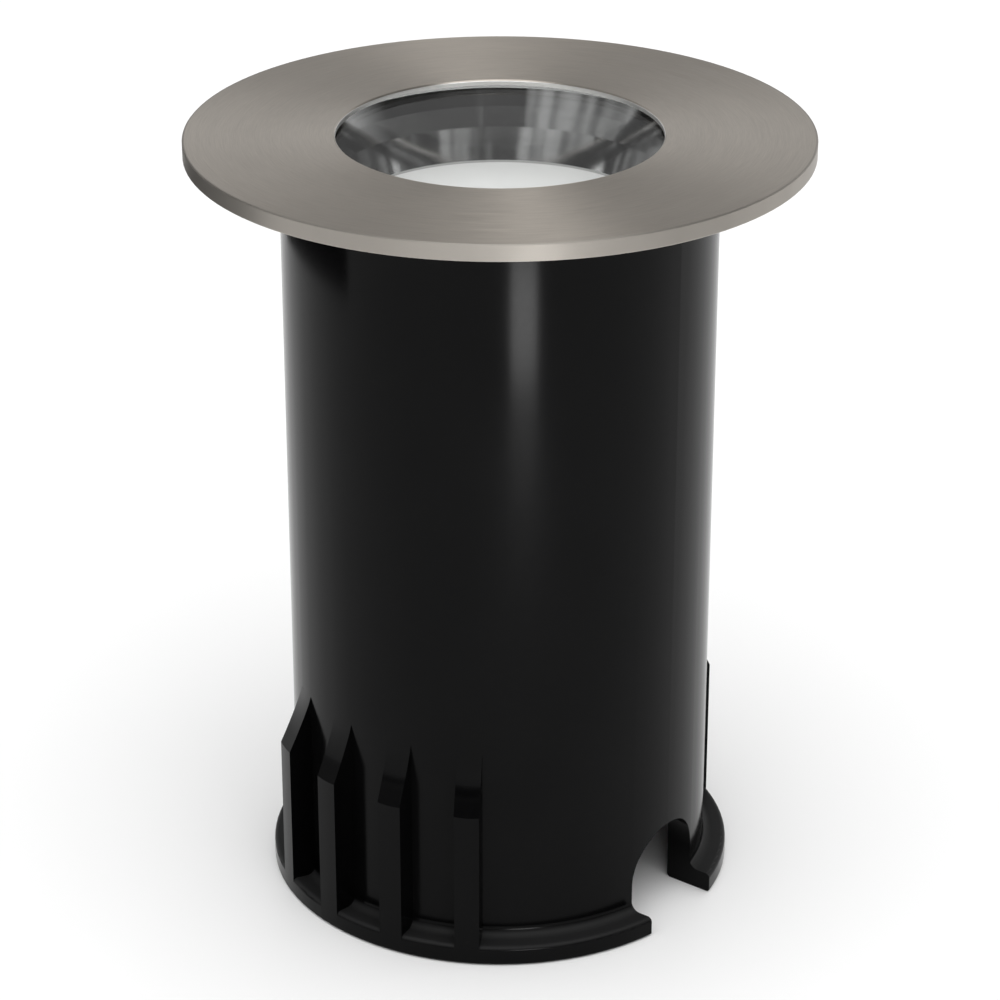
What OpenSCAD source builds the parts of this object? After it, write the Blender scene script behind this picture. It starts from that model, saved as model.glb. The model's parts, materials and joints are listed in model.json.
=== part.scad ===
// In ground well light: a round stainless trim ring over a sealed lamp unit,
// standing in a black moulded ground sleeve. Millimetres, +Z up, origin at the
// centre of the sleeve's foot. The cable arches face +X and -X, the anchor ribs +Y and -Y.

/* [Trim ring] */
// Outer diameter of the trim ring
ring_d = 100; // [92:1:112]
// Thickness of the trim ring's plate
ring_t = 2.7; // [2.4:0.1:3.2]
// Diameter of the light opening
hole_d = 52; // [48:0.5:53]
// Height of the bare lip above the glass gasket
lip_h = 0.9; // [0.6:0.1:1]
// Chamfer round the light opening
hole_chamfer = 0.25; // [0.1:0.05:0.35]

/* [Ground sleeve] */
// Height of the whole light, from the sleeve's foot to the top of the trim ring
total_h = 130; // [130:1:170]
// Outer diameter of the sleeve's tube
tube_d = 70; // [70:0.5:74]
// Diameter of the foot flange
flange_d = 78; // [77:1:84]
// Thickness of the foot flange
flange_t = 3.4; // [2.8:0.1:4.5]
// Bore of the foot collar, where the wall is thickest
collar_bore_d = 61.3; // [60:0.1:63]
// Height of the foot collar
collar_h = 24; // [20:1:30]

/* [Cable arches] */
// Width of each cable arch
arch_w = 17; // [12:0.5:19]
// Height of an arch's straight sides
arch_spring_z = 7.9; // [6:0.1:10]

/* [Anchor ribs] */
// Width of an anchor rib
rib_w = 4.1; // [3:0.1:5]
// Angle between neighbouring ribs
rib_pitch_deg = 19.5; // [17:0.5:22]
// Height of a rib where it meets the tube
rib_top_z = 37.2; // [32:0.2:44]
// Height of a rib's outer edge
rib_edge_z = 27.6; // [22:0.1:30]

/* [Lamp unit] */
// Thickness of the front glass
glass_t = 4; // [3:0.5:4.5]
// Diameter of the lit face of the opal diffuser
diffuser_d = 51; // [46:0.5:52]
// Depth of the diffuser below the top of the trim ring
diffuser_depth = 14.1; // [13:0.1:15]
// Number of cooling fins
fin_n = 24; // [18:6:30]
// Thickness of a cooling fin
fin_t = 1.6; // [1.2:0.1:2]
// Cable diameter that the gland's seal grips
cable_d = 6; // [5:0.5:6.5]

/* [Spring clips] */
// Width of a spring clip
clip_w = 6.6; // [5.6:0.2:6.6]
// Diameter of a clip's hinge pin
pin_d = 2; // [1.8:0.1:2]

/* [Hidden] */
$fn = 96;

ring_r = ring_d / 2;
hole_r = hole_d / 2;
tube_r = tube_d / 2;
bore_r = 32;
flange_r = flange_d / 2;
collar_r = collar_bore_d / 2;
arch_r = arch_w / 2;

ring_top = total_h;
ring_under = ring_top - ring_t;
seat_depth = 0.3;                       // locating recess that the sleeve's rim enters
seat_z = ring_under + seat_depth;       // top of the sleeve
seat_r = tube_r + 0.3;

// the lamp unit hangs from the trim ring, so its heights count down from the top
gasket_t = 0.4;
gasket_top = ring_top - lip_h;
glass_top = gasket_top - gasket_t;
glass_z = glass_top - glass_t;
rim_z = ring_top - 5.9;                 // top of the housing's rim
refl_z = ring_top - diffuser_depth;     // foot of the reflector, top of the diffuser
waist_r = 27.2;                         // the reflector's kink, above which it also holds the bevelled glass
waist_z = (refl_z + glass_z) / 2 + 1.2;
cone_z = glass_top - 1.2;
cone_r = 29.5;
function cone_at(z) = waist_r + (cone_r - waist_r) * (z - waist_z) / (cone_z - waist_z);
diff_t = 2;
board_z = ring_top - 26.3;
board_t = 1.6;
pad_t = 0.3;
floor_top = board_z - pad_t;
floor_z = floor_top - 4;
skirt_z = ring_top - 12.5;
skirt_in = 30.3;
skirt_out = 31.6;
grub_z = ring_top - 8.3;
grub_r = 1.25;
ring_oring_z = ring_top - 11;
cent_oring_z = ring_top - 15.4;
body_r = 26;                            // outside of the driver chamber, and the clip ring's journal
chamber_r = 23.5;
house_z = ring_top - 70;                // lower rim of the driver chamber
shoulder_z = ring_top - 53.7;
fin_z = ring_top - 51;
cover_top = house_z - 1;
cover_t = 5;
cover_z = cover_top - cover_t;
boss_at = [30, 150, 270];
boss_c = 21;
clip_at = [90, 210, 330];
pin_r = pin_d / 2;
pin_x = 29.5;
pin_z = ring_top - 57.6;
lead_x = [4.9, 7.1];
lead_y = -1.8;
lead_r = 0.6;

black_plastic = [0.035, 0.035, 0.037];
steel = [0.62, 0.6, 0.57];
cast_grey = [0.34, 0.35, 0.36];
rubber = [0.05, 0.05, 0.05];
white = [0.93, 0.93, 0.9];
green = [0.08, 0.32, 0.16];

module tube(r_out, r_in, z0, z1) {
    difference() {
        translate([0, 0, z0]) cylinder(r = r_out, h = z1 - z0);
        translate([0, 0, z0 - 1]) cylinder(r = r_in, h = z1 - z0 + 2);
    }
}

// a screw with its head below: the head's seat is at z = 0, the shank points up
module screw_up(shank_r, shank_l, head_r, head_h) {
    difference() {
        union() {
            cylinder(r = shank_r, h = shank_l);
            translate([0, 0, -head_h]) cylinder(r1 = head_r - 0.4, r2 = head_r, h = head_h);
        }
        for (a = [0, 90]) rotate([0, 0, a])
            translate([-head_r * 0.6, -0.3, -head_h - 1]) cube([head_r * 1.2, 0.6, 1 + head_h * 0.55]);
    }
}

// ---------------------------------------------------------------- ground sleeve

module sleeve_profile() {
    round_top = 0.8;
    fillet = 1.6;
    difference() {
        union() {
            polygon([
                [collar_r, 0.4], [collar_r + 0.4, 0], [tube_r, 0], [tube_r, seat_z - 0.4], [tube_r - 0.4, seat_z],
                [bore_r + 0.8, seat_z], [bore_r, seat_z - 1.2], [bore_r, collar_h + 2], [collar_r, collar_h]
            ]);
            translate([tube_r - 0.5, 0]) square([flange_r - tube_r + 0.5, flange_t]);
            translate([tube_r - 0.1, flange_t - 0.1]) difference() {
                square([fillet + 0.1, fillet + 0.1]);
                translate([fillet + 0.1, fillet + 0.1]) circle(r = fillet);
            }
        }
        translate([flange_r - round_top, flange_t - round_top]) difference() {
            square([round_top + 1, round_top + 1]);
            circle(r = round_top);
        }
        translate([flange_r, 0]) rotate(45) square([0.5, 0.5], center = true);
    }
}

// the rib's top leaves the tube steeply and eases out to its outer edge
module anchor_rib() {
    steps = 8;
    reach = flange_r - tube_r;
    drop = rib_top_z - rib_edge_z;
    intersection() {
        rotate([90, 0, 0]) translate([0, 0, -rib_w / 2]) linear_extrude(rib_w)
            polygon(concat(
                [[tube_r - 2, 0.6], [flange_r + 1, 0.6], [flange_r + 1, rib_edge_z - drop / reach / 2]],
                [for (i = [steps:-1:0]) [tube_r + reach * pow(i / steps, 1.15), rib_top_z - drop * i / steps]],
                [[tube_r - 2, rib_top_z + 4]]
            ));
        cylinder(r = flange_r, h = rib_top_z + 5);
    }
}

module mounting_sleeve() {
    color(black_plastic) difference() {
        union() {
            rotate_extrude() sleeve_profile();
            for (side = [90, 270]) for (i = [-1.5, -0.5, 0.5, 1.5])
                rotate([0, 0, side + i * rib_pitch_deg]) anchor_rib();
        }
        for (side = [0, 180]) rotate([0, 0, side]) {
            translate([collar_r - 6, -arch_r, -1]) cube([20, arch_w, arch_spring_z + 1]);
            translate([collar_r - 6, 0, arch_spring_z]) rotate([0, 90, 0]) cylinder(r = arch_r, h = 20);
        }
    }
}

// ---------------------------------------------------------------- front of the lamp unit

module trim_ring() {
    c = hole_chamfer;
    e = 0.15;
    color(steel) rotate_extrude() polygon([
        [hole_r, gasket_top], [hole_r, ring_top - c], [hole_r + c, ring_top],
        [ring_r - e, ring_top], [ring_r, ring_top - e], [ring_r, ring_under + e], [ring_r - e, ring_under],
        [seat_r, ring_under], [seat_r, seat_z], [skirt_in, seat_z], [skirt_in, gasket_top]
    ]);
}

// turned collar, welded edge to edge under the plate ring
module ring_collar() {
    e = 0.2;
    color(steel) difference() {
        rotate_extrude() polygon([
            [skirt_in, seat_z], [skirt_out, seat_z], [skirt_out, skirt_z + e], [skirt_out - e, skirt_z],
            [skirt_in + e, skirt_z], [skirt_in, skirt_z + e]
        ]);
        for (a = [60, 180, 300]) rotate([0, 0, a])
            translate([28, 0, grub_z]) rotate([0, 90, 0]) cylinder(r = grub_r, h = 5);
    }
}

module ring_grub_screws() {
    color(steel) for (a = [60, 180, 300]) rotate([0, 0, a]) translate([0, 0, grub_z]) rotate([0, 90, 0])
        difference() {
            union() {
                translate([0, 0, 30.4]) cylinder(r = grub_r - 0.03, h = 1.15);
                translate([0, 0, 29.75]) cylinder(r = 0.7, h = 0.8);
            }
            translate([0, 0, 30.9]) cylinder(r = 0.72, h = 2, $fn = 6);
        }
}

module glass_gasket() {
    color(rubber) tube(30.2, hole_r + 1.4, glass_top, gasket_top);
}

module front_glass() {
    b = 0.3;
    gap = 0.02;
    color([0.85, 0.93, 0.93, 0.3]) rotate_extrude() polygon([
        [0, glass_z], [cone_at(glass_z) - gap, glass_z], [cone_r - gap, cone_z], [cone_r - gap, glass_top - b],
        [cone_r - gap - b, glass_top], [0, glass_top]
    ]);
}

module reflector() {
    r0 = diffuser_d / 2;
    wall = 0.5;
    color([0.8, 0.8, 0.82]) rotate_extrude() polygon([
        [r0, refl_z], [r0, refl_z + 0.4], [waist_r, waist_z], [cone_r, cone_z],
        [cone_r, glass_top - 0.2], [30.2, glass_top - 0.2], [30.2, rim_z], [cone_at(rim_z) + wall, rim_z], [cone_at(rim_z) + wall, rim_z - 1.5],
        [r0 + 0.8, refl_z + 0.8], [28.6, refl_z + 0.8], [28.6, refl_z]
    ]);
}

module diffuser() {
    color(white) translate([0, 0, refl_z - diff_t]) cylinder(r = 27, h = diff_t);
}

module mixing_cup() {
    top = refl_z - diff_t;
    foot = board_z + board_t;
    color(white) rotate_extrude() polygon([
        [24.4, foot], [25.2, top], [27.1, top], [27.1, refl_z], [28.6, refl_z], [28.6, foot]
    ]);
}

// ---------------------------------------------------------------- light source

led_rings = [[0, 1, 0], [9.5, 6, 20], [18, 12, 15]];

module led_board() {
    color([0.9, 0.9, 0.88]) difference() {
        translate([0, 0, board_z]) cylinder(r = 28.2, h = board_t);
        for (a = [90, 210, 330]) rotate([0, 0, a]) translate([21.8, 0, board_z - 1]) cylinder(r = 1.4, h = 4);
        translate([(lead_x[0] + lead_x[1]) / 2, lead_y, board_z - 1]) cylinder(r = 2.2, h = 4);
    }
}

module led_chips() {
    color([0.95, 0.85, 0.35]) for (g = led_rings) for (i = [0 : g[1] - 1])
        rotate([0, 0, g[2] + i * 360 / g[1]]) translate([g[0] - 1.4, -1.4, board_z + board_t]) cube([2.8, 2.8, 0.7]);
}

module led_board_screws() {
    color(steel) for (a = [90, 210, 330]) rotate([0, 0, a])
        translate([21.8, 0, board_z + board_t]) mirror([0, 0, 1]) screw_up(1.22, 5, 2.2, 1.3);
}

module thermal_pad() {
    color([0.55, 0.6, 0.7]) difference() {
        translate([0, 0, floor_top]) cylinder(r = 27.4, h = pad_t);
        for (a = [90, 210, 330]) rotate([0, 0, a]) translate([21.8, 0, floor_top - 1]) cylinder(r = 1.6, h = 3);
        translate([(lead_x[0] + lead_x[1]) / 2, lead_y, floor_top - 1]) cylinder(r = 2.4, h = 3);
    }
}

module led_leads() {
    color([0.7, 0.1, 0.08]) for (x = lead_x) {
        translate([x, lead_y, floor_z - 9]) cylinder(r = lead_r, h = board_z + board_t + 0.6 - floor_z + 9);
        translate([x, lead_y + 1.7, board_z + board_t + 0.6]) rotate([90, 0, -90])
            rotate_extrude(angle = 180) translate([1.7, 0]) circle(r = lead_r);
        translate([x, lead_y + 3.4, board_z + board_t]) cylinder(r = lead_r, h = 0.6);
    }
}

// ---------------------------------------------------------------- housing

module lamp_housing() {
    color(cast_grey) difference() {
        union() {
            translate([0, 0, floor_z]) cylinder(r = 30.25, h = rim_z - floor_z);
            translate([0, 0, house_z]) cylinder(r = body_r, h = floor_z - house_z + 1);
            translate([0, 0, shoulder_z]) cylinder(r = 28, h = fin_z - shoulder_z + 0.5);
            for (i = [0 : fin_n - 1]) rotate([0, 0, (i + 0.5) * 360 / fin_n])
                translate([body_r - 2, -fin_t / 2, fin_z]) cube([4.8 + 2, fin_t, floor_z - fin_z + 2]);
        }
        // lamp chamber, open to the front
        translate([0, 0, floor_top]) cylinder(r = 28.9, h = 40);
        // driver chamber, open to the rear, with three screw bosses left standing
        difference() {
            translate([0, 0, house_z - 1]) cylinder(r = chamber_r, h = floor_z - house_z + 1);
            for (a = boss_at) rotate([0, 0, a]) {
                translate([boss_c, 0, house_z - 2]) cylinder(r = 2.8, h = 16);
                translate([boss_c, -2.8, house_z - 2]) cube([4, 5.6, 16]);
            }
        }
        for (a = boss_at) rotate([0, 0, a]) translate([boss_c, 0, house_z - 1]) cylinder(r = 1.5, h = 12);
        // seats for the two sealing rings and the grub screws' points
        rotate_extrude() translate([29.5, ring_oring_z - 0.55]) square([2, 1.1]);
        rotate_extrude() translate([29.9, cent_oring_z - 1.15]) square([2, 2.3]);
        for (a = [60, 180, 300]) rotate([0, 0, a])
            translate([29.7, 0, grub_z]) rotate([0, 90, 0]) cylinder(r = 0.8, h = 3);
        // light source screws and lead hole
        for (a = [90, 210, 330]) rotate([0, 0, a]) translate([21.8, 0, floor_top - 3.4]) cylinder(r = 1.25, h = 5);
        translate([(lead_x[0] + lead_x[1]) / 2, lead_y, floor_z - 1]) cylinder(r = 2.4, h = 8);
    }
}

module o_ring(r_mid, r_cord, z) {
    translate([0, 0, z]) rotate_extrude() translate([r_mid, 0]) circle(r = r_cord);
}

module ring_o_ring() { color(rubber) o_ring(29.9, 0.38, ring_oring_z); }
module centring_o_ring() { color(rubber) o_ring(30.95, 0.98, cent_oring_z); }

// ---------------------------------------------------------------- driver

case_z = floor_z - 28.4;

module driver_case() {
    color([0.12, 0.12, 0.13]) difference() {
        translate([-15, -10, case_z]) cube([30, 20, floor_z - case_z]);
        translate([-13.8, -8.8, case_z + 1.2]) cube([27.6, 17.6, 40]);
        for (x = [-3, 3]) translate([x, 7.6, case_z - 1]) cylinder(r = 0.9, h = 4);
    }
}

module driver_board() {
    color(green) translate([-13.75, -4, case_z + 1.2]) cube([27.5, 1.6, 24.6]);
}

module driver_transformer() {
    color([0.25, 0.24, 0.22]) translate([-12.4, -2.4, case_z + 10]) difference() {
        cube([12, 9.5, 12]);
        translate([2.2, 1.2, -1]) cube([1.6, 12, 14]);
        translate([8.2, 1.2, -1]) cube([1.6, 12, 14]);
    }
}

module driver_capacitors() {
    color([0.15, 0.18, 0.4]) for (p = [[8.4, case_z + 10.5, 4, 10], [10.4, case_z + 19, 2.6, 7.5]])
        translate([p[0], -2.4, p[1]]) rotate([-90, 0, 0]) difference() {
            cylinder(r = p[2], h = p[3]);
            translate([0, 0, p[3] * 0.12]) rotate_extrude() translate([p[2] - 0.25, 0]) square([1, 0.7]);
        }
}

module driver_chips() {
    color([0.1, 0.1, 0.1]) {
        translate([0.6, -2.4, case_z + 17]) cube([3, 1.4, 4.2]);
        translate([-6, -5.2, case_z + 14]) cube([5, 1.2, 4]);
        translate([3, -5.6, case_z + 8]) cube([6.5, 1.6, 4.6]);
    }
}

module supply_leads() {
    color([0.15, 0.2, 0.6]) for (x = [-3, 3]) {
        translate([x, 7.6, cover_top + 9]) cylinder(r = lead_r, h = case_z + 4 - cover_top - 9);
        translate([x, 5.6, case_z + 4]) rotate([90, 0, 90]) rotate_extrude(angle = 90) translate([2, 0]) circle(r = lead_r);
        translate([x, -2.4, case_z + 6]) rotate([-90, 0, 0]) cylinder(r = lead_r, h = 8);
    }
}

module terminal_block() {
    color([0.85, 0.84, 0.78]) difference() {
        translate([-6, 6.9, cover_top]) cube([12, 9, 9]);
        for (x = [-3, 3]) {
            translate([x, 0, cover_top + 3]) rotate([-90, 0, 0]) cylinder(r = 1.3, h = 30);
            translate([x, 12.4, cover_top + 2]) cylinder(r = 1.6, h = 10);
        }
    }
}

module terminal_screws() {
    color([0.75, 0.6, 0.3]) for (x = [-3, 3]) translate([x, 12.4, cover_top + 4.3]) difference() {
        cylinder(r = 1.55, h = 3.6);
        translate([-2, -0.25, 2.9]) cube([4, 0.5, 2]);
    }
}

// ---------------------------------------------------------------- rear cover and cable gland

module rear_cover_gasket() {
    color(rubber) difference() {
        tube(25.9, 17.4, cover_top, house_z);
        for (a = boss_at) rotate([0, 0, a]) translate([boss_c, 0, cover_top - 1]) cylinder(r = 1.7, h = 4);
    }
}

module rear_cover() {
    b = 0.8;
    color(cast_grey) difference() {
        rotate_extrude() polygon([
            [0, cover_z], [28.9 - b, cover_z], [28.9, cover_z + b], [28.9, cover_top], [0, cover_top]
        ]);
        for (a = boss_at) rotate([0, 0, a]) translate([boss_c, 0, cover_z - 1]) cylinder(r = 1.7, h = 9);
        translate([0, 0, cover_z - 1]) cylinder(r = 6.03, h = 9);
    }
}

module rear_cover_screws() {
    color(steel) for (a = boss_at) rotate([0, 0, a]) translate([boss_c, 0, cover_z]) screw_up(1.48, 14, 2.75, 2.1);
}

module gland_o_ring() { color(rubber) tube(7.4, 6.1, cover_z - 1, cover_z); }

module cable_gland_body() {
    color([0.16, 0.16, 0.17]) difference() {
        union() {
            translate([0, 0, cover_z - 13]) cylinder(r = 6, h = 20);
            translate([0, 0, cover_z - 5.5]) cylinder(r = 8.66, h = 4.5, $fn = 6);
        }
        translate([0, 0, cover_z - 20]) cylinder(r = cable_d / 2 + 0.5, h = 40);
        translate([0, 0, cover_z - 14]) cylinder(r = 4.6, h = 7.1);
    }
}

module cable_gland_seal() {
    color([0.3, 0.3, 0.3]) tube(4.55, cable_d / 2, cover_z - 16.9, cover_z - 6.95);
}

module cable_gland_nut() {
    color([0.16, 0.16, 0.17]) difference() {
        union() {
            translate([0, 0, cover_z - 16]) cylinder(r = 8.66, h = 10, $fn = 6);
            translate([0, 0, cover_z - 20]) cylinder(r1 = 5.6, r2 = 7.5, h = 4);
        }
        translate([0, 0, cover_z - 13.5]) cylinder(r = 6.03, h = 10);
        translate([0, 0, cover_z - 17]) cylinder(r = 4.6, h = 5);
        translate([0, 0, cover_z - 21]) cylinder(r = cable_d / 2 + 0.9, h = 6);
    }
}

// ---------------------------------------------------------------- spring clips

carrier_z0 = cover_top + 0.3;
carrier_z1 = shoulder_z - 0.3;

module clip_carrier_ring() {
    color([0.09, 0.09, 0.1]) difference() {
        union() {
            translate([0, 0, carrier_z0]) cylinder(r = 28.9, h = carrier_z1 - carrier_z0);
            for (a = clip_at) rotate([0, 0, a]) for (s = [-1, 1])
                translate([26.5, s > 0 ? clip_w / 2 + 0.3 : -clip_w / 2 - 2.1, pin_z - 3.4]) cube([4.6, 1.8, 6.4]);
        }
        translate([0, 0, carrier_z0 - 1]) cylinder(r = body_r + 0.08, h = 40);
        for (a = clip_at) rotate([0, 0, a]) {
            translate([27.3, -clip_w / 2 - 0.3, carrier_z0 - 1]) cube([6, clip_w + 0.6, 40]);
            translate([pin_x, 0, pin_z]) rotate([90, 0, 0]) cylinder(r = pin_r, h = 20, center = true);
        }
    }
}

module clip_pins() {
    color(steel) for (a = clip_at) rotate([0, 0, a])
        translate([pin_x, 0, pin_z]) rotate([90, 0, 0]) cylinder(r = pin_r, h = clip_w + 4.2, center = true);
}

// the bowed arm hangs from its pin: its belly bears on the sleeve's bore
module spring_clip(at) {
    color(steel) rotate([0, 0, at]) translate([0, 0, pin_z - 72.4]) difference() {
        union() {
            rotate([90, 0, 0]) linear_extrude(clip_w, center = true) polygon([
                [31.5, 70.2], [31.75, 67.5], [31.75, 65.2], [29.9, 60.4], [29.15, 60.7],
                [30.95, 65.4], [30.95, 70.2]
            ]);
            for (s = [-1, 1]) translate([0, s * (clip_w / 4 + 0.85), 0]) rotate([90, 0, 0])
                linear_extrude(clip_w / 2 - 1.7, center = true) union() {
                    translate([pin_x, 72.4]) circle(r = 1.9);
                    polygon([[31.5, 70.1], [31.38, 72.4], [30.4, 72.4], [30.95, 70.1]]);
                }
        }
        translate([pin_x, 0, 72.4]) rotate([90, 0, 0]) cylinder(r = pin_r + 0.05, h = 20, center = true);
    }
}

module spring_clip_a() { spring_clip(clip_at[0]); }
module spring_clip_b() { spring_clip(clip_at[1]); }
module spring_clip_c() { spring_clip(clip_at[2]); }

// torsion spring: four turns round the pin, one leg behind the arm, one towards the carrier
module clip_spring(at) {
    color(steel) rotate([0, 0, at]) translate([pin_x, 0, pin_z]) {
        rotate([90, 0, 0]) rotate_extrude() {
            translate([1.22, -1.3]) square([0.3, 2.6]);
            for (i = [-1.5 : 1 : 1.5]) translate([1.48, i * 0.7]) circle(r = 0.36);
        }
        translate([1.12, 0.2, -5.8]) cylinder(r = 0.3, h = 4.9);
        translate([-1.3, -0.2, -4.9]) cylinder(r = 0.3, h = 4.2);
    }
}

module clip_spring_a() { clip_spring(clip_at[0]); }
module clip_spring_b() { clip_spring(clip_at[1]); }
module clip_spring_c() { clip_spring(clip_at[2]); }

// ---------------------------------------------------------------- the assembly

mounting_sleeve();
trim_ring();
ring_collar();
ring_grub_screws();
glass_gasket();
front_glass();
reflector();
diffuser();
mixing_cup();
led_board();
led_chips();
led_board_screws();
thermal_pad();
lamp_housing();
ring_o_ring();
centring_o_ring();
led_leads();
driver_case();
driver_board();
driver_transformer();
driver_capacitors();
driver_chips();
supply_leads();
terminal_block();
terminal_screws();
rear_cover_gasket();
rear_cover();
rear_cover_screws();
gland_o_ring();
cable_gland_body();
cable_gland_seal();
cable_gland_nut();
clip_carrier_ring();
clip_pins();
spring_clip_a();
spring_clip_b();
spring_clip_c();
clip_spring_a();
clip_spring_b();
clip_spring_c();
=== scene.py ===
import json
import math

import bpy
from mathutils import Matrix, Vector

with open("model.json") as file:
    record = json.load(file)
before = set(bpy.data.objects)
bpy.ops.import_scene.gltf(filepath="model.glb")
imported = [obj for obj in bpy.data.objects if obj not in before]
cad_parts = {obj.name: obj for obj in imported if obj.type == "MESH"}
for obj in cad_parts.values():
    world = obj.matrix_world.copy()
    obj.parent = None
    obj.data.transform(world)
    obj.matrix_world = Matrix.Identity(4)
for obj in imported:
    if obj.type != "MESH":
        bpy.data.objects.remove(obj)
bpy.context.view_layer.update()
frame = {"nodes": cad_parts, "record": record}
scene = bpy.context.scene
nodes_of = frame["nodes"]

# ---------------------------------------------------------------- camera
# The view's own axes on the floor: FRONT points from the object to the camera, RIGHT to the picture's right.
CAM_DISTANCE, CAM_HEIGHT, CAM_PITCH = 0.50425, 0.3032, 25.209
CAM_AZIMUTH = math.radians(-52.75)
FRONT = Vector((math.cos(CAM_AZIMUTH), math.sin(CAM_AZIMUTH), 0))
RIGHT = Vector((-FRONT.y, FRONT.x, 0))
UP = Vector((0, 0, 1))

cam_data = bpy.data.cameras.new("camera")
cam = bpy.data.objects.new("camera", cam_data)
scene.collection.objects.link(cam)
cam_data.sensor_width = 36.0
cam_data.lens = 121.1
cam_data.clip_start, cam_data.clip_end = 0.01, 50.0
cam.location = FRONT * CAM_DISTANCE + UP * CAM_HEIGHT
pitch = math.radians(CAM_PITCH)
look = -FRONT * math.cos(pitch) - UP * math.sin(pitch)
cam.rotation_mode = "QUATERNION"
cam.rotation_quaternion = look.to_track_quat("-Z", "Y")
scene.camera = cam

scene.view_settings.view_transform = "Standard"
scene.view_settings.look = "None"


# ---------------------------------------------------------------- node helpers
class Nodes:
    """A short way to write a node tree."""

    def __init__(self, node_tree):
        self.nt = node_tree
        self.nt.nodes.clear()

    def add(self, kind, **settings):
        n = self.nt.nodes.new("ShaderNode" + kind)
        for k, v in settings.items():
            setattr(n, k, v)
        return n

    def link(self, a, b):
        self.nt.links.new(a, b)

    def put(self, socket, value):
        if isinstance(value, bpy.types.NodeSocket):
            self.link(value, socket)
        else:
            socket.default_value = value

    def math(self, op, a, b=None, c=None, clamp=False):
        n = self.add("Math", operation=op, use_clamp=clamp)
        self.put(n.inputs[0], a)
        if b is not None:
            self.put(n.inputs[1], b)
        if c is not None:
            self.put(n.inputs[2], c)
        return n.outputs[0]

    def xyz(self):
        tc = self.add("TexCoord")
        s = self.add("SeparateXYZ")
        self.link(tc.outputs["Object"], s.inputs[0])
        return tc.outputs["Object"], s.outputs[0], s.outputs[1], s.outputs[2]

    def combine(self, x, y, z):
        n = self.add("CombineXYZ")
        for socket, v in zip(n.inputs, (x, y, z)):
            self.put(socket, v)
        return n.outputs[0]

    def noise(self, vector, scale, detail=2.0, rough=0.5, distortion=0.0):
        n = self.add("TexNoise", noise_dimensions="3D")
        self.link(vector, n.inputs["Vector"])
        n.inputs["Scale"].default_value = scale
        n.inputs["Detail"].default_value = detail
        n.inputs["Roughness"].default_value = rough
        n.inputs["Distortion"].default_value = distortion
        return n.outputs["Fac"]

    def spread(self, value, lo, hi, low_in=0.3, high_in=0.7):
        n = self.add("MapRange", clamp=True)
        self.put(n.inputs["Value"], value)
        n.inputs["From Min"].default_value = low_in
        n.inputs["From Max"].default_value = high_in
        n.inputs["To Min"].default_value = lo
        n.inputs["To Max"].default_value = hi
        return n.outputs["Result"]

    def mix(self, factor, a, b):
        n = self.add("Mix", data_type="RGBA")
        self.put(n.inputs[0], factor)
        self.put(n.inputs[6], a)
        self.put(n.inputs[7], b)
        return n.outputs[2]

    def bump(self, height, strength, distance, normal=None):
        n = self.add("Bump")
        n.inputs["Strength"].default_value = strength
        n.inputs["Distance"].default_value = distance
        self.link(height, n.inputs["Height"])
        if normal is not None:
            self.link(normal, n.inputs["Normal"])
        return n.outputs["Normal"]

    def principled(self, color, rough, metallic=0.0, normal=None, **uniform):
        n = self.add("BsdfPrincipled")
        self.put(n.inputs["Base Color"], color)
        self.put(n.inputs["Roughness"], rough)
        n.inputs["Metallic"].default_value = metallic
        if normal is not None:
            self.link(normal, n.inputs["Normal"])
        for k, v in uniform.items():
            n.inputs[k.replace("_", " ")].default_value = v
        self.link(n.outputs[0], self.out.inputs["Surface"])
        return n


class Tree(Nodes):
    """A new material and its node tree."""

    def __init__(self, name):
        self.mat = bpy.data.materials.new(name)
        self.mat.use_nodes = True
        super().__init__(self.mat.node_tree)
        self.out = self.add("OutputMaterial")


def rgb(r, g, b):
    return (r, g, b, 1.0)


# ---------------------------------------------------------------- materials
def round_coords(t):
    """Distance from the axis, height, and a point on the unit circle, so that patterns run round the axis with no seam."""
    _, x, y, z = t.xyz()
    r = t.math("SQRT", t.math("ADD", t.math("MULTIPLY", x, x), t.math("MULTIPLY", y, y)))
    safe = t.math("MAXIMUM", r, 1e-5)
    return r, z, t.math("DIVIDE", x, safe), t.math("DIVIDE", y, safe)


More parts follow.
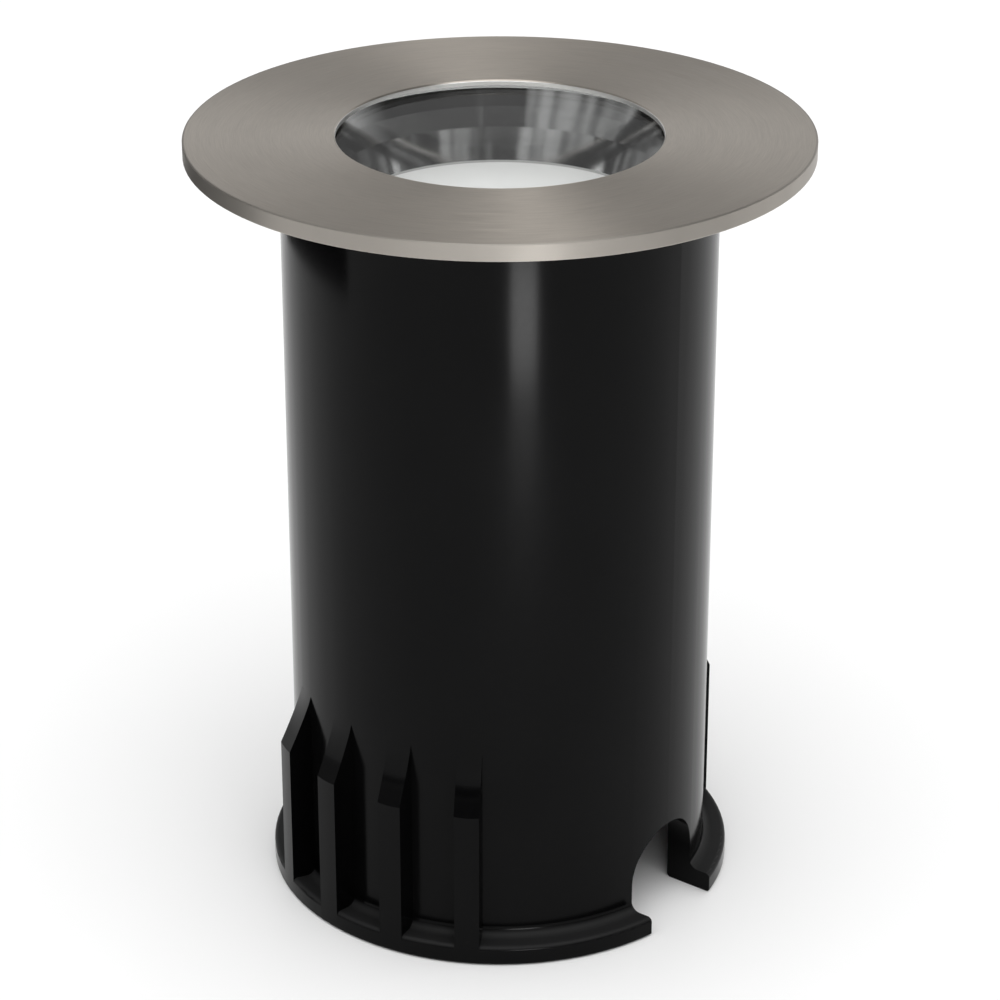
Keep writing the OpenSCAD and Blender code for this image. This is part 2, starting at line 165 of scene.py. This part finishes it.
def brushed_stainless():
    """Plate turned and brushed round its axis; the edge is plainly turned and duller."""
    t = Tree("brushed_stainless")
    r, z, cx, cy = round_coords(t)
    fine = t.noise(t.combine(t.math("MULTIPLY", r, 9000.0), t.math("MULTIPLY", cx, 9.0), t.math("MULTIPLY", cy, 9.0)), 1.0, 3.0, 0.65)
    broad = t.noise(t.combine(t.math("MULTIPLY", r, 1500.0), t.math("MULTIPLY", cx, 3.0), t.math("MULTIPLY", cy, 3.0)), 1.0, 3.0, 0.55)
    cloud = t.noise(t.combine(t.math("MULTIPLY", r, 90.0), t.math("MULTIPLY", cx, 1.6), t.math("MULTIPLY", cy, 1.6)), 1.0, 2.0, 0.5)
    level = t.math("ADD", t.math("MULTIPLY", fine, 0.5), t.math("ADD", t.math("MULTIPLY", broad, 0.3), t.math("MULTIPLY", cloud, 0.2)))
    color = t.mix(t.spread(level, 0.0, 1.0, 0.38, 0.62), rgb(0.468, 0.425, 0.374), rgb(0.572, 0.522, 0.462))
    edge = t.spread(r, 0.0, 1.0, 0.0496, 0.04975)
    # The bore's short inner wall is painted near-white, brighter than the steel itself: a painted highlight.
    bore_painted_highlight = t.math("MULTIPLY", t.spread(r, 1.0, 0.0, 0.02603, 0.02608), t.spread(z, 0.0, 1.0, 0.128, 0.129))
    color = t.mix(edge, color, rgb(0.575, 0.540, 0.494))
    color = t.mix(bore_painted_highlight, color, rgb(0.95, 0.94, 0.92))
    rough = t.math("ADD", t.spread(broad, 0.30, 0.36, 0.35, 0.65), t.math("MULTIPLY", edge, 0.27))
    normal = t.bump(t.math("ADD", t.math("MULTIPLY", fine, 0.7), t.math("MULTIPLY", broad, 0.3)), 0.10, 0.00001)
    p = t.principled(color, rough, 1.0, normal, Anisotropic=0.85, Anisotropic_Rotation=0.25)
    tangent = t.add("Tangent", direction_type="RADIAL", axis="Z")
    t.link(tangent.outputs[0], p.inputs["Tangent"])
    return t.mat


def machined(name, color, color2, rough, scale=3000.0):
    """Small turned steel parts: fine lines along the part and a little colour change."""
    t = Tree(name)
    v, x, y, z = t.xyz()
    lines = t.noise(t.combine(t.math("MULTIPLY", x, 300.0), t.math("MULTIPLY", y, 300.0), t.math("MULTIPLY", z, scale)), 1.0, 3.0, 0.6)
    cloud = t.noise(v, 260.0, 3.0, 0.5)
    c = t.mix(t.spread(t.math("MULTIPLY_ADD", lines, 0.5, t.math("MULTIPLY", cloud, 0.5)), 0, 1, 0.35, 0.65), color, color2)
    t.principled(c, t.spread(cloud, rough - 0.05, rough + 0.07), 1.0, t.bump(lines, 0.08, 0.00002), Anisotropic=0.3)
    return t.mat


def moulded(name, color, color2, rough, level=0.5, grain=2600.0, strength=0.05, coat=0.0, swirl=True):
    """Injection-moulded plastic: a fine even grain and slow changes of gloss."""
    t = Tree(name)
    v, *_ = t.xyz()
    fine = t.noise(v, grain, 2.0, 0.55)
    cloud = t.noise(v, 55.0, 3.0, 0.5)
    slow = t.noise(v, 24.0, 2.0, 0.5, 0.3)
    c = t.mix(t.spread(t.math("MULTIPLY_ADD", fine, 0.35, t.math("MULTIPLY", cloud, 0.65)), 0, 1, 0.35, 0.65), color, color2)
    r = t.math("ADD", t.spread(slow, rough - 0.03, rough + 0.03), t.spread(fine, -0.015, 0.015))
    t.principled(c, r, 0.0, t.bump(fine, strength, 0.00002), Specular_IOR_Level=level, Coat_Weight=coat)
    return t.mat


def sleeve_plastic():
    """Glossy moulded tube. The top of its foot flange is matt and painted lighter, as if lit from above, and the
    ribs' sloped tops run out into the tube.
    """
    t = Tree("sleeve_black_plastic")
    v, *_ = t.xyz()
    r, z, cx, cy = round_coords(t)
    fine = t.noise(v, 2600.0, 2.0, 0.55)
    cloud = t.noise(v, 55.0, 3.0, 0.5)
    slow = t.noise(v, 24.0, 2.0, 0.5, 0.3)
    facing = t.add("NewGeometry").outputs["Normal"]
    parts = t.add("SeparateXYZ")
    t.link(facing, parts.inputs[0])
    upward = parts.outputs["Z"]
    # Upward-facing flange top: rougher (a real matt finish) and painted lighter, as if lit from above (painted
    # light).
    matt_flange_top_painted_lit = t.math("MULTIPLY", t.spread(z, 1.0, 0.0, 0.0066, 0.0076), t.spread(upward, 0.0, 1.0, 0.3, 0.75))
    color = t.mix(t.spread(t.math("MULTIPLY_ADD", fine, 0.35, t.math("MULTIPLY", cloud, 0.65)), 0, 1, 0.35, 0.65),
                  rgb(0.0011, 0.0011, 0.0012), rgb(0.0019, 0.0019, 0.0020))
    # Painted light: the upward-facing flange top gets a lighter colour.
    color = t.mix(matt_flange_top_painted_lit, color, rgb(0.017, 0.017, 0.0172))
    rough = t.math("ADD", t.spread(slow, 0.13, 0.19), t.spread(fine, -0.015, 0.015))
    rough = t.math("ADD", rough, t.math("MULTIPLY", matt_flange_top_painted_lit, 0.3))
    slope = t.math("MULTIPLY", t.spread(upward, 0.0, 1.0, 0.12, 0.22),
                   t.math("MULTIPLY", t.spread(z, 0.0, 1.0, 0.0265, 0.0272), t.spread(z, 1.0, 0.0, 0.0386, 0.0388)))
    ease = t.math("MULTIPLY", slope, t.spread(r, 1.0, 0.0, 0.0353, 0.0378))
    eased = t.add("Mix", data_type="VECTOR")
    t.link(ease, eased.inputs["Factor"])
    t.link(facing, eased.inputs[4])
    t.link(t.combine(cx, cy, 0.0), eased.inputs[5])
    unit = t.add("VectorMath", operation="NORMALIZE")
    t.link(eased.outputs[1], unit.inputs[0])
    t.principled(color, rough, 0.0, t.bump(fine, 0.05, 0.00002, unit.outputs[0]), Specular_IOR_Level=0.08)
    return t.mat


def cast_aluminium():
    t = Tree("cast_aluminium")
    v, *_ = t.xyz()
    grain = t.noise(v, 1800.0, 3.0, 0.6)
    cloud = t.noise(v, 120.0, 4.0, 0.55)
    pits = t.noise(v, 700.0, 2.0, 0.5)
    c = t.mix(t.spread(cloud, 0, 1, 0.35, 0.65), rgb(0.285, 0.29, 0.30), rgb(0.345, 0.35, 0.36))
    h = t.math("ADD", grain, t.math("MULTIPLY", pits, 0.8))
    t.principled(c, t.spread(t.math("MULTIPLY_ADD", cloud, 0.5, t.math("MULTIPLY", pits, 0.5)), 0.42, 0.58), 1.0, t.bump(h, 0.35, 0.00003))
    return t.mat


def polished_aluminium():
    t = Tree("polished_aluminium")
    r, z, cx, cy = round_coords(t)
    spin = t.noise(t.combine(t.math("MULTIPLY", t.math("ADD", z, r), 900.0), t.math("MULTIPLY", cx, 2.0), t.math("MULTIPLY", cy, 2.0)), 1.0, 2.0, 0.5)
    haze = t.noise(t.combine(t.math("MULTIPLY", z, 180.0), t.math("MULTIPLY", cx, 3.0), t.math("MULTIPLY", cy, 3.0)), 1.0, 3.0, 0.5)
    c = t.mix(t.spread(spin, 0, 1, 0.35, 0.65), rgb(0.50, 0.50, 0.50), rgb(0.54, 0.54, 0.54))
    t.principled(c, t.spread(haze, 0.06, 0.10), 1.0)
    return t.mat


def opal_diffuser():
    t = Tree("opal_diffuser")
    v, *_ = t.xyz()
    fine = t.noise(v, 3500.0, 2.0, 0.5)
    cloud = t.noise(v, 90.0, 3.0, 0.5)
    c = t.mix(t.spread(cloud, 0, 1), rgb(0.84, 0.84, 0.83), rgb(0.90, 0.90, 0.89))
    t.principled(c, t.spread(fine, 0.42, 0.5), 0.0, t.bump(fine, 0.05, 0.00002), Specular_IOR_Level=0.4,
                 Subsurface_Weight=0.0)
    return t.mat


def clear_glass():
    """Flat clear cover: it passes what is behind it and mirrors by the angle of view."""
    t = Tree("clear_glass")
    v, *_ = t.xyz()
    fres = t.add("Fresnel")
    fres.inputs["IOR"].default_value = 1.17
    back = t.add("NewGeometry")
    outer = t.math("MULTIPLY", fres.outputs[0], t.math("SUBTRACT", 1.0, back.outputs["Backfacing"]))
    passed = t.add("BsdfTransparent")
    smear = t.noise(v, 60.0, 3.0, 0.5)
    t.put(passed.inputs["Color"], t.mix(t.spread(smear, 0, 1), rgb(0.972, 0.976, 0.974), rgb(0.984, 0.987, 0.985)))
    gloss = t.add("BsdfAnisotropic")
    gloss.inputs["Color"].default_value = rgb(0.9, 0.9, 0.9)
    t.put(gloss.inputs["Roughness"], t.spread(smear, 0.02, 0.05))
    m = t.add("MixShader")
    t.link(outer, m.inputs[0])
    t.link(passed.outputs[0], m.inputs[1])
    t.link(gloss.outputs[0], m.inputs[2])
    t.link(m.outputs[0], t.out.inputs["Surface"])
    return t.mat


def rubber(name, a, b, rough=0.55):
    t = Tree(name)
    v, *_ = t.xyz()
    fine = t.noise(v, 2200.0, 3.0, 0.6)
    dust = t.noise(v, 150.0, 4.0, 0.6)
    c = t.mix(t.spread(dust, 0, 1, 0.4, 0.7), a, b)
    t.principled(c, t.spread(dust, rough - 0.06, rough + 0.1), 0.0, t.bump(fine, 0.12, 0.00003), Specular_IOR_Level=0.35, Sheen_Weight=0.05)
    return t.mat


def board(name, a, b, metal=0.0):
    """A circuit board's solder mask over faint tracks."""
    t = Tree(name)
    v, x, y, z = t.xyz()
    tracks = t.add("TexVoronoi", feature="DISTANCE_TO_EDGE", voronoi_dimensions="3D")
    tracks.inputs["Scale"].default_value = 320.0
    t.link(v, tracks.inputs["Vector"])
    edge = t.spread(tracks.outputs["Distance"], 0.0, 1.0, 0.02, 0.06)
    weave = t.noise(v, 4000.0, 1.0, 0.5)
    c = t.mix(edge, a, b)
    t.principled(c, t.spread(weave, 0.3, 0.38), metal, t.bump(edge, 0.2, 0.00003), Specular_IOR_Level=0.5)
    return t.mat


def led_phosphor():
    t = Tree("led_phosphor")
    v, x, y, z = t.xyz()
    grain = t.noise(v, 5200.0, 3.0, 0.6)
    c = t.mix(t.spread(grain, 0, 1), rgb(0.86, 0.66, 0.16), rgb(0.95, 0.80, 0.32))
    t.principled(c, t.spread(grain, 0.3, 0.42), 0.0, t.bump(grain, 0.2, 0.00003))
    return t.mat


def wire(name, a, b):
    t = Tree(name)
    v, *_ = t.xyz()
    fine = t.noise(v, 1500.0, 2.0, 0.5)
    t.principled(t.mix(t.spread(fine, 0, 1), a, b), t.spread(fine, 0.28, 0.36), 0.0, t.bump(fine, 0.08, 0.00003))
    return t.mat


MATERIALS = {
    "sleeve_black_plastic": sleeve_plastic(),
    "brushed_stainless": brushed_stainless(),
    "stainless_small_parts": machined("stainless_small_parts", rgb(0.52, 0.51, 0.50), rgb(0.66, 0.65, 0.64), 0.28),
    "spring_steel": machined("spring_steel", rgb(0.50, 0.50, 0.50), rgb(0.62, 0.62, 0.62), 0.3),
    "black_silicone": rubber("black_silicone", rgb(0.012, 0.012, 0.012), rgb(0.028, 0.028, 0.028)),
    "grey_rubber": rubber("grey_rubber", rgb(0.14, 0.14, 0.145), rgb(0.2, 0.2, 0.205)),
    "clear_glass": clear_glass(),
    "polished_aluminium": polished_aluminium(),
    "opal_diffuser": opal_diffuser(),
    "white_plastic": moulded("white_plastic", rgb(0.80, 0.80, 0.78), rgb(0.88, 0.88, 0.86), 0.4, 0.5),
    "white_board": board("white_board", rgb(0.70, 0.70, 0.69), rgb(0.84, 0.84, 0.83)),
    "green_board": board("green_board", rgb(0.02, 0.16, 0.07), rgb(0.03, 0.24, 0.10)),
    "led_phosphor": led_phosphor(),
    "thermal_silicone": rubber("thermal_silicone", rgb(0.36, 0.42, 0.52), rgb(0.44, 0.5, 0.6), 0.6),
    "cast_aluminium": cast_aluminium(),
    "dark_plastic": moulded("dark_plastic", rgb(0.012, 0.012, 0.013), rgb(0.02, 0.02, 0.021), 0.38, 0.4),
    "ivory_plastic": moulded("ivory_plastic", rgb(0.70, 0.67, 0.56), rgb(0.78, 0.75, 0.65), 0.38, 0.5),
    "ferrite": rubber("ferrite", rgb(0.045, 0.042, 0.040), rgb(0.07, 0.066, 0.062), 0.5),
    "capacitor_sleeve": moulded("capacitor_sleeve", rgb(0.02, 0.03, 0.16), rgb(0.03, 0.045, 0.22), 0.22, 0.5),
    "plated_brass": machined("plated_brass", rgb(0.62, 0.50, 0.24), rgb(0.76, 0.64, 0.36), 0.25),
    "red_wire": wire("red_wire", rgb(0.42, 0.012, 0.01), rgb(0.52, 0.02, 0.016)),
    "blue_wire": wire("blue_wire", rgb(0.012, 0.04, 0.30), rgb(0.02, 0.06, 0.38)),
}

slot_of = {s["node"]: s["material_slot"] for s in frame["record"]["subparts"]}
for name, obj in nodes_of.items():
    mat = MATERIALS[slot_of[name]]
    for s in obj.material_slots:
        s.material = mat


# ---------------------------------------------------------------- floor and light
def floor_material():
    t = Tree("studio_floor")
    v, *_ = t.xyz()
    soft = t.noise(v, 3.0, 2.0, 0.5)
    t.principled(t.mix(soft, rgb(0.90, 0.90, 0.90), rgb(0.91, 0.91, 0.91)), 0.85, 0.0, Specular_IOR_Level=0.1)
    return t.mat


mesh = bpy.data.meshes.new("floor")
n, rings = 96, (0.0, 0.25, 0.6, 1.2, 2.4, 4.0)
verts, faces = [(0.0, 0.0, 0.0)], []
for r in rings[1:]:
    verts += [(r * math.cos(2 * math.pi * i / n), r * math.sin(2 * math.pi * i / n), 0.0) for i in range(n)]
for i in range(n):
    faces.append((0, 1 + i, 1 + (i + 1) % n))
for k in range(len(rings) - 2):
    a, b = 1 + k * n, 1 + (k + 1) * n
    for i in range(n):
        j = (i + 1) % n
        faces.append((a + i, b + i, b + j, a + j))
mesh.from_pydata(verts, [], faces)
mesh.materials.append(floor_material())
floor = bpy.data.objects.new("floor", mesh)
floor.location.z = -0.00005
scene.collection.objects.link(floor)


def area(name, az, distance, height, size, power, target=(0, 0, 0.07), color=(1, 1, 1)):
    """A softbox at an angle from the camera's side, positive to the picture's right."""
    data = bpy.data.lights.new(name, "AREA")
    data.shape = "RECTANGLE"
    data.size, data.size_y = size
    data.energy = power
    data.color = color
    o = bpy.data.objects.new(name, data)
    scene.collection.objects.link(o)
    a = math.radians(az)
    o.location = (FRONT * math.cos(a) + RIGHT * math.sin(a)) * distance + UP * height
    o.rotation_mode = "QUATERNION"
    o.rotation_quaternion = (Vector(target) - o.location).to_track_quat("-Z", "Y")
    o.visible_camera = False
    return o


def flag(name, az_from, az_to, radius, z_lo, z_hi):
    """A black card on a curve round the object, seen only in reflections."""
    t = Tree(name)
    v, *_ = t.xyz()
    t.principled(t.mix(t.noise(v, 20.0), rgb(0.008, 0.008, 0.008), rgb(0.012, 0.012, 0.012)), 0.9, 0.0, Specular_IOR_Level=0.0)
    n, verts, faces = 24, [], []
    for i in range(n + 1):
        a = math.radians(az_from + (az_to - az_from) * i / n)
        p = (FRONT * math.cos(a) + RIGHT * math.sin(a)) * radius
        verts += [(p.x, p.y, z_lo), (p.x, p.y, z_hi)]
    for i in range(n):
        faces.append((2 * i, 2 * i + 1, 2 * i + 3, 2 * i + 2))
    m = bpy.data.meshes.new(name)
    m.from_pydata(verts, [], faces)
    m.materials.append(t.mat)
    o = bpy.data.objects.new(name, m)
    scene.collection.objects.link(o)
    o.visible_camera = o.visible_diffuse = o.visible_shadow = o.visible_transmission = False
    return o


area("top_softbox", 8, 0.55, 1.45, (1.3, 1.3), 8.0)
area("back_softbox", 173.8, 0.6, 1.17, (0.115, 0.6), 0.55)
area("low_strip", 11.4, 0.250, 0.026, (0.054, 0.028), 0.090, (0, 0, 0.026))
flag("black_flag", -74, -131, 0.12, 0.076, 0.155)

world = bpy.data.worlds.new("studio")
scene.world = world
world.use_nodes = True
w = Nodes(world.node_tree)
tc = w.add("TexCoord")
direction = tc.outputs["Generated"]


def along(axis):
    n = w.add("VectorMath", operation="DOT_PRODUCT")
    w.link(direction, n.inputs[0])
    n.inputs[1].default_value = tuple(axis)
    return n.outputs["Value"]


to_front, to_right, up = along(FRONT), along(RIGHT), along(UP)
low_front = w.math("MULTIPLY", w.spread(to_front, 0.0, 1.0, -0.30, 0.20), w.spread(up, 1.0, 0.0, 0.40, 0.75))
middle = w.math("MULTIPLY", w.spread(up, 0.0, 1.0, 0.50, 0.60), w.spread(up, 1.0, 0.0, 0.78, 0.88))
dim = w.math("MAXIMUM", low_front, middle)
slant = w.combine(w.math("MULTIPLY_ADD", to_right, 4.2, w.math("MULTIPLY", up, 10.0)),
                  w.math("MULTIPLY_ADD", to_right, 1.8, w.math("MULTIPLY", up, -2.0)), w.math("MULTIPLY", to_front, 1.5))
gaps = w.spread(w.math("MULTIPLY_ADD", to_right, -0.13, w.noise(slant, 1.0, 2.0, 0.55)), 0.0, 1.0, 0.46, 0.64)
haze = w.math("MULTIPLY", w.spread(up, 0.72, 0.34, 0.08, 0.60), w.spread(to_front, 1.0, 0.72, -0.6, 0.3))
level = w.math("ADD", w.math("MULTIPLY", haze, w.math("MULTIPLY_ADD", dim, -0.92, 1.0)), w.math("MULTIPLY", dim, w.math("MULTIPLY", gaps, 0.52)))
path = w.add("LightPath")
plain = w.math("MAXIMUM", path.outputs["Is Camera Ray"], path.outputs["Is Diffuse Ray"])
level = w.math("ADD", w.math("MULTIPLY", level, w.math("SUBTRACT", 1.0, plain)), plain)
bg = w.add("Background")
bg.inputs["Color"].default_value = (1, 1, 1, 1)
w.link(level, bg.inputs["Strength"])
w_out = w.add("OutputWorld")
w.link(bg.outputs[0], w_out.inputs["Surface"])
